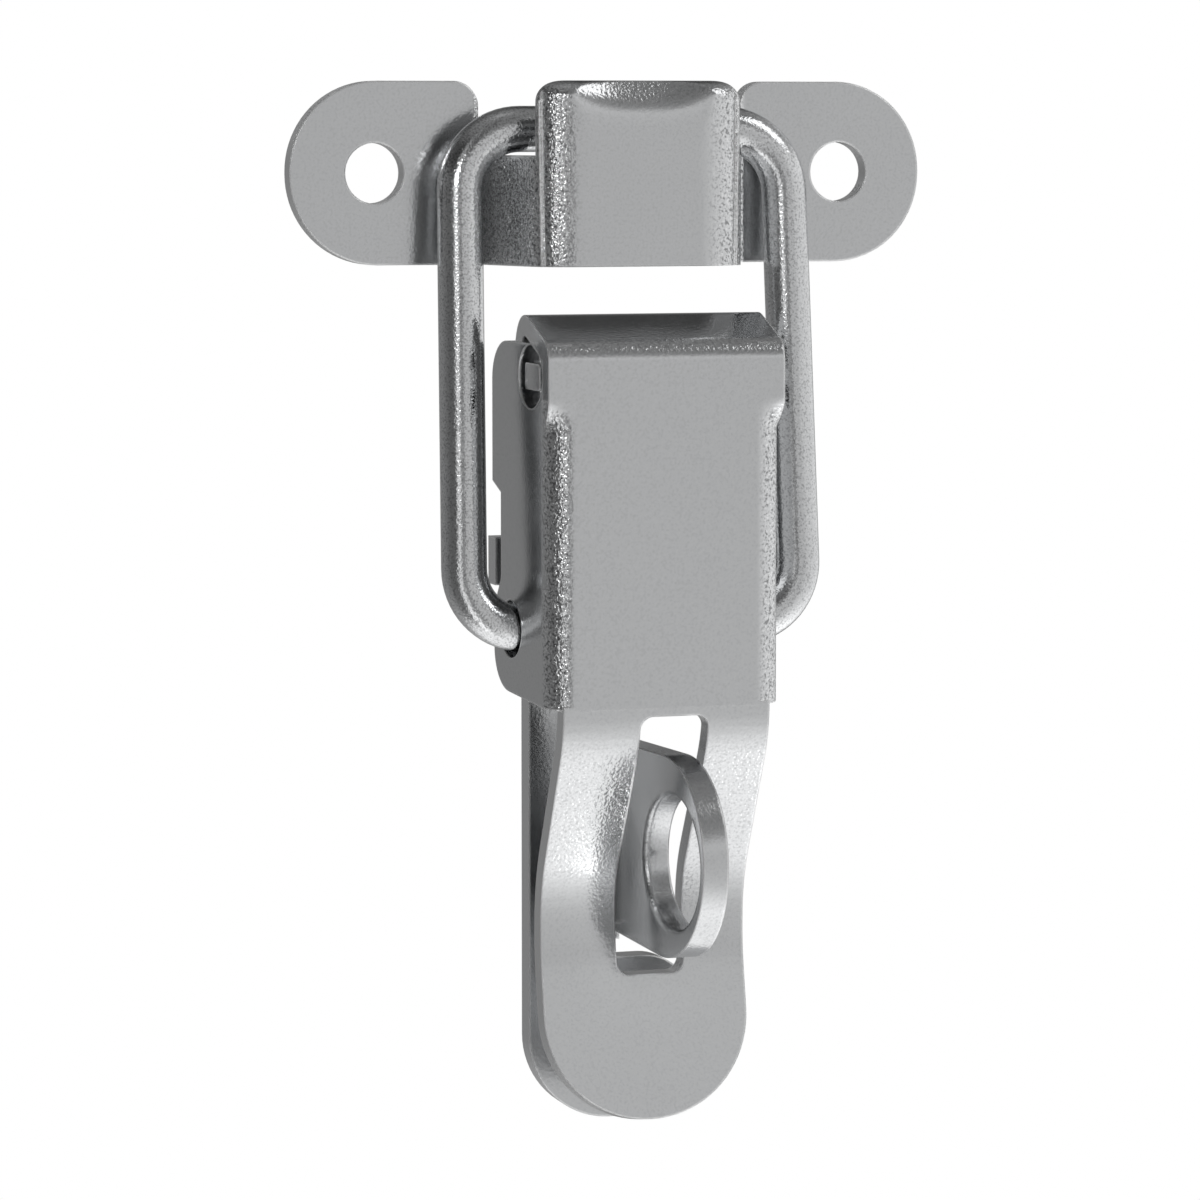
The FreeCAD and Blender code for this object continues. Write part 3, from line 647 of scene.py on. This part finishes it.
# %% [markdown]
# ## The room that the metal mirrors
#
# Bare metal has almost no colour of its own: it shows the room. The even grey of the flat faces is
# a pale wall in front of the latch. The bail shows what is round it: a dark gap at the camera with
# a narrow bright panel on its left, a dull left side and a brighter right side. The curves that
# face down mirror a white table, and the curves that face up a dark ceiling with a lamp over it.
# So the room is painted on the world with two ramps, one round the horizon and one over the
# height. The angles are in degrees: 0 is the front of the latch, negative is its left. Near
# straight up and straight down the horizon's ramp would pinch together, so there the ramp over
# the height takes over. The camera's own rays see plain white.

# %% Paint the room on the world
ROUND_THE_HORIZON = [
    (-180, 0.36), (-160, 0.27), (-130, 0.28), (-80, 0.15), (-52, 0.15), (-43, 0.70),
    (-35, 1.10), (-27, 0.60), (-18, 0.32), (-10, 0.32), (-3, 0.63), (20, 0.65), (45, 0.84),
    (80, 0.92), (120, 1.05), (140, 0.50), (155, 0.12), (172, 0.36),
]
OVER_THE_HEIGHT = [
    (-90, 1.30), (-58, 1.30), (-44, 1.10), (-30, 0.84), (-20, 0.70), (-10, 0.65), (2, 0.60),
    (10, 0.66), (18, 0.72), (24, 0.40), (32, 0.28), (54, 0.22), (78, 0.26), (90, 0.45),
]
WALL = 0.63                    # brightness of the wall in front, which matches the two ramps
STEEP_FROM, STEEP_FULL = 0.70, 0.92        # sine of the height at which the second takes over


def make_room():
    """The world: a pale room for the metal, and plain white for the camera."""
    world = bpy.data.worlds.new("pale_room")
    world.use_nodes = True
    tree = world.node_tree
    tree.nodes.clear()
    way = add(tree, "ShaderNodeSeparateXYZ",
              {0: add(tree, "ShaderNodeTexCoord").outputs["Generated"]})
    front = add(tree, "ShaderNodeMath", {0: way.outputs["Y"], 1: -1.0}, operation="MULTIPLY")
    angle = add(tree, "ShaderNodeMath", {0: way.outputs["X"], 1: front.outputs[0]},
                operation="ARCTAN2")
    turn = add(tree, "ShaderNodeMapRange",
               {"Value": angle.outputs[0], "From Min": -math.pi, "From Max": math.pi})
    walls = add(tree, "ShaderNodeValToRGB", {"Fac": turn.outputs[0]},
                stops=[((degrees + 180) / 360, grey) for degrees, grey in ROUND_THE_HORIZON])
    height = add(tree, "ShaderNodeMapRange",
                 {"Value": way.outputs["Z"], "From Min": -1.0, "From Max": 1.0})
    levels = add(tree, "ShaderNodeValToRGB", {"Fac": height.outputs[0]},
                 stops=[((math.sin(math.radians(degrees)) + 1) / 2, grey)
                        for degrees, grey in OVER_THE_HEIGHT])
    both = add(tree, "ShaderNodeMath",
               {0: walls.outputs["Color"], 1: levels.outputs["Color"]}, operation="MULTIPLY")
    matched = add(tree, "ShaderNodeMath", {0: both.outputs[0], 1: WALL}, operation="DIVIDE")
    steep = add(tree, "ShaderNodeMath", {0: way.outputs["Z"]}, operation="ABSOLUTE")
    blend = add(tree, "ShaderNodeMapRange",
                {"Value": steep.outputs[0], "From Min": STEEP_FROM, "From Max": STEEP_FULL})
    shade = add(tree, "ShaderNodeMix",
                {"Factor": blend.outputs[0], "A": matched.outputs[0],
                 "B": levels.outputs["Color"]})
    room = add(tree, "ShaderNodeBackground",
               {"Color": (1, 1, 1, 1), "Strength": shade.outputs["Result"]})
    white = add(tree, "ShaderNodeBackground", {"Color": (1, 1, 1, 1), "Strength": 1.0})
    path = add(tree, "ShaderNodeLightPath")
    choice = add(tree, "ShaderNodeMixShader", {0: path.outputs["Is Camera Ray"],
                                               1: room.outputs[0], 2: white.outputs[0]})
    output = tree.nodes.new("ShaderNodeOutputWorld")
    tree.links.new(choice.outputs[0], output.inputs["Surface"])
    return world


bpy.context.scene.world = make_room()
bpy.context.scene.view_settings.view_transform = "Standard"
print("world:", bpy.context.scene.world.name)

# %% [markdown]
# ## Soft boxes
#
# Three small lamps add what a painted room can't give: soft shadows and the bright streaks on
# the bends. One large box is high on the right, a smaller one on the left of the camera, and a
# faint one stands for the light that a white table throws up under the tab.

# %% Hang the soft boxes
LAMP_DISTANCE = 0.8            # metres from the middle of the latch
LAMPS = (                      # name, azimuth and elevation in degrees, width in metres, watts
    ("right_soft_box", 62, 42, 0.40, 0.8),
    ("left_soft_box", -36, 20, 0.16, 0.5),
    ("table_glow", 50, -50, 0.12, 0.10),
)


def soft_light(name, azimuth, elevation, width, watts):
    """A square soft box that looks at the middle of the latch."""
    lamp = bpy.data.lights.new(name, "AREA")
    lamp.size = width
    lamp.energy = watts
    box = bpy.data.objects.new(name, lamp)
    a, e = math.radians(azimuth), math.radians(elevation)
    way = Vector((math.sin(a) * math.cos(e), -math.cos(a) * math.cos(e), math.sin(e)))
    box.location = AIM + way * LAMP_DISTANCE
    box.rotation_euler = way.to_track_quat("Z", "Y").to_euler()
    bpy.context.scene.collection.objects.link(box)
    return box


boxes_hung = [soft_light(*lamp) for lamp in LAMPS]
print("soft boxes:", [box.name for box in boxes_hung])

# %% [markdown]
# ## Finish

# %% Finish
print("finished")
